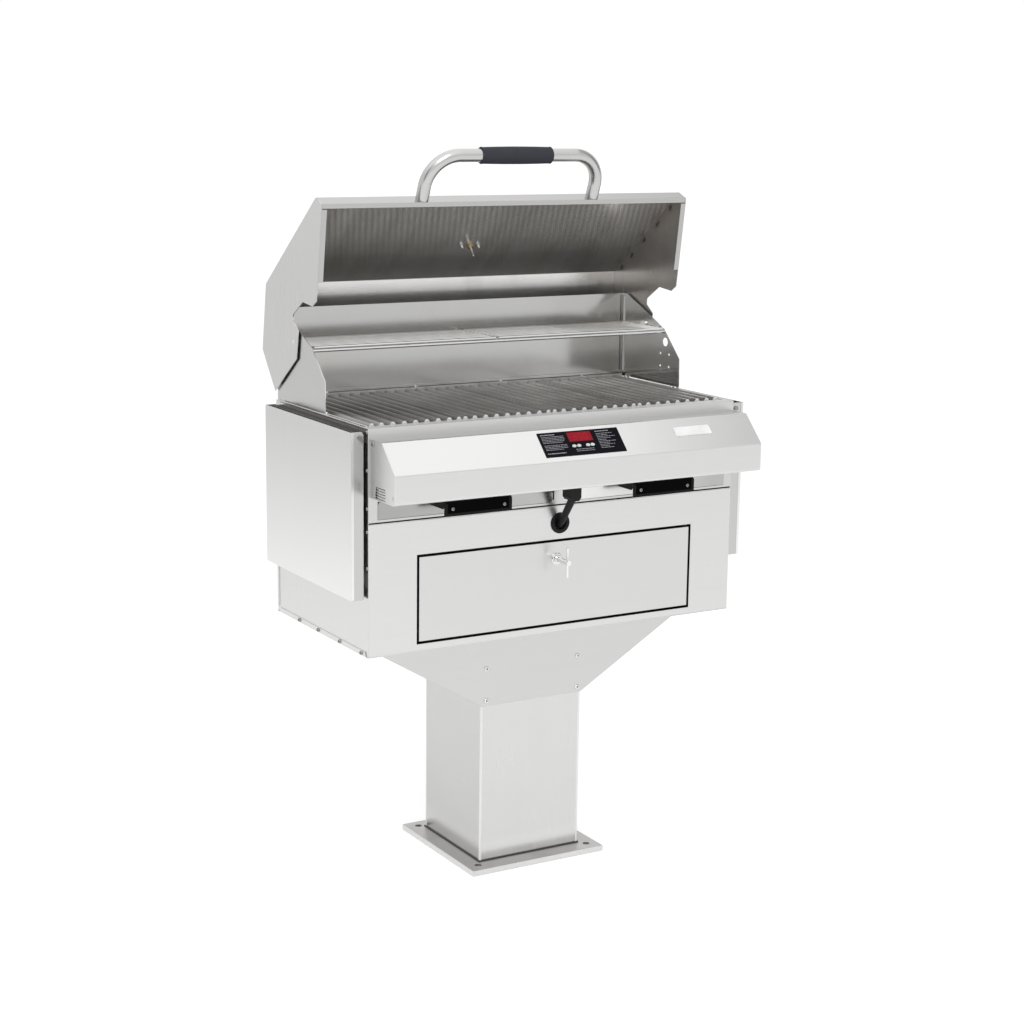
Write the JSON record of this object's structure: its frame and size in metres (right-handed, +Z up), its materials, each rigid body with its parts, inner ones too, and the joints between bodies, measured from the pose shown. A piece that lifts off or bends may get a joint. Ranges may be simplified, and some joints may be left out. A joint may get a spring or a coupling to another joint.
{
  "type": "pedestal electric grill",
  "caption": "Pedestal electric grill on a square column, with a lift-up lid, folding side shelves, drip trays, a drop-down door and a control console.",
  "frame": {"origin": "centre of the square floor plate's underside", "axes": "+Z up along the column, front with the control console towards -Y, +X to the right seen from the front"},
  "size_m": [0.875, 0.5648, 1.4158],
  "materials": {
    "steel": "brushed",
    "steel_bright": "fine brushed, fairly bright",
    "steel_dark": "heat-darkened",
    "grate_steel": "satin, slightly darkened",
    "chrome": "polished",
    "black_plastic": "matt",
    "panel_plastic": "semi-gloss",
    "rubber": "matt",
    "silver_plastic": "metallic silver",
    "pull_metal": "black powder coat"
  },
  "bodies": {
    "frame": {"base_plate": "steel", "column": "steel", "hopper_front": "steel", "hopper_shell": "steel", "hopper_screws": "chrome", "side_panel_left": "steel", "side_panel_right": "steel", "rear_panel": "steel", "lower_front": "steel", "floor_pan": "steel", "case_screws": "chrome", "upper_front": "steel", "side_rails": "steel", "rim_frame": "steel_bright", "firebox_liner": "steel_dark", "element_rests": "steel_dark", "heating_element": "steel_dark", "tray_runners": "steel", "wing_left": "steel", "wing_right": "steel", "back_guard": "steel", "wing_fasteners": "chrome", "lid_pivots": "chrome", "rack_rails": "chrome", "console_body": "steel", "console_caps": "steel", "control_module": "panel_plastic", "badge_plate": "steel_bright", "power_plug": "black_plastic", "cord_grommet": "rubber", "power_cord": "rubber", "shelf_bolts": "chrome"},
    "lid": {"lid_skin": "steel", "lid_end_left": "steel", "lid_end_right": "steel", "lid_handle": "steel_bright", "handle_grip": "rubber", "thermometer": "chrome"},
    "door": {"door": "steel", "door_pins": "chrome", "latch_rose": "chrome"},
    "latch": {"latch_handle": "chrome"},
    "shelf_left": {"shelf_left": "steel"},
    "shelf_right": {"shelf_right": "steel"},
    "tray_left": {"tray_left": "steel", "tray_pull_left": "pull_metal"},
    "tray_right": {"tray_right": "steel", "tray_pull_right": "pull_metal"},
    "grate_1": {"grate_1": "grate_steel"},
    "grate_2": {"grate_2": "grate_steel"},
    "grate_3": {"grate_3": "grate_steel"},
    "grate_4": {"grate_4": "grate_steel"},
    "rack_left": {"rack_left": "chrome"},
    "rack_right": {"rack_right": "chrome"},
    "button_1": {"button_1": "silver_plastic"},
    "button_2": {"button_2": "silver_plastic"},
    "button_3": {"button_3": "silver_plastic"},
    "button_4": {"button_4": "silver_plastic"}
  },
  "joints": [
    {"name": "lid_hinge", "type": "hinge", "parent": "frame", "child": "lid", "pos_m": [0, 0.116, 1.043], "axis": [1, 0, 0], "range_deg": [0, 82]},
    {"name": "door_hinge", "type": "hinge", "parent": "frame", "child": "door", "pos_m": [0, -0.194, 0.5295], "axis": [1, 0, 0], "range_deg": [0, 90]},
    {"name": "latch_turn", "type": "hinge", "parent": "door", "child": "latch", "pos_m": [-0.0035, -0.22, 0.639], "axis": [0, 1, 0], "range_deg": [0, 90]},
    {"name": "shelf_left_hinge", "type": "hinge", "parent": "frame", "child": "shelf_left", "pos_m": [-0.419, 0, 0.903], "axis": [0, 1, 0], "range_deg": [0, 90]},
    {"name": "shelf_right_hinge", "type": "hinge", "parent": "frame", "child": "shelf_right", "pos_m": [0.419, 0, 0.903], "axis": [0, -1, 0], "range_deg": [0, 90]},
    {"name": "tray_left_slide", "type": "slide", "parent": "frame", "child": "tray_left", "axis": [0, -1, 0], "range_m": [0, 0.3]},
    {"name": "tray_right_slide", "type": "slide", "parent": "frame", "child": "tray_right", "axis": [0, -1, 0], "range_m": [0, 0.3]},
    {"name": "grate_1_lift", "type": "slide", "parent": "frame", "child": "grate_1", "axis": [0, 0, 1], "range_m": [0, 0.02]},
    {"name": "grate_2_lift", "type": "slide", "parent": "frame", "child": "grate_2", "axis": [0, 0, 1], "range_m": [0, 0.02]},
    {"name": "grate_3_lift", "type": "slide", "parent": "frame", "child": "grate_3", "axis": [0, 0, 1], "range_m": [0, 0.02]},
    {"name": "grate_4_lift", "type": "slide", "parent": "frame", "child": "grate_4", "axis": [0, 0, 1], "range_m": [0, 0.02]},
    {"name": "rack_left_lift", "type": "slide", "parent": "frame", "child": "rack_left", "axis": [0, 0, 1], "range_m": [0, 0.04]},
    {"name": "rack_right_lift", "type": "slide", "parent": "frame", "child": "rack_right", "axis": [0, 0, 1], "range_m": [0, 0.04]},
    {"name": "button_1_press", "type": "slide", "parent": "frame", "child": "button_1", "axis": [0, 0.7071, -0.7071], "range_m": [0, 0.001], "stiffness_N_per_m": 500},
    {"name": "button_2_press", "type": "slide", "parent": "frame", "child": "button_2", "axis": [0, 0.7071, -0.7071], "range_m": [0, 0.001], "stiffness_N_per_m": 500},
    {"name": "button_3_press", "type": "slide", "parent": "frame", "child": "button_3", "axis": [0, 0.7071, -0.7071], "range_m": [0, 0.001], "stiffness_N_per_m": 500},
    {"name": "button_4_press", "type": "slide", "parent": "frame", "child": "button_4", "axis": [0, 0.7071, -0.7071], "range_m": [0, 0.001], "stiffness_N_per_m": 500}
  ]
}
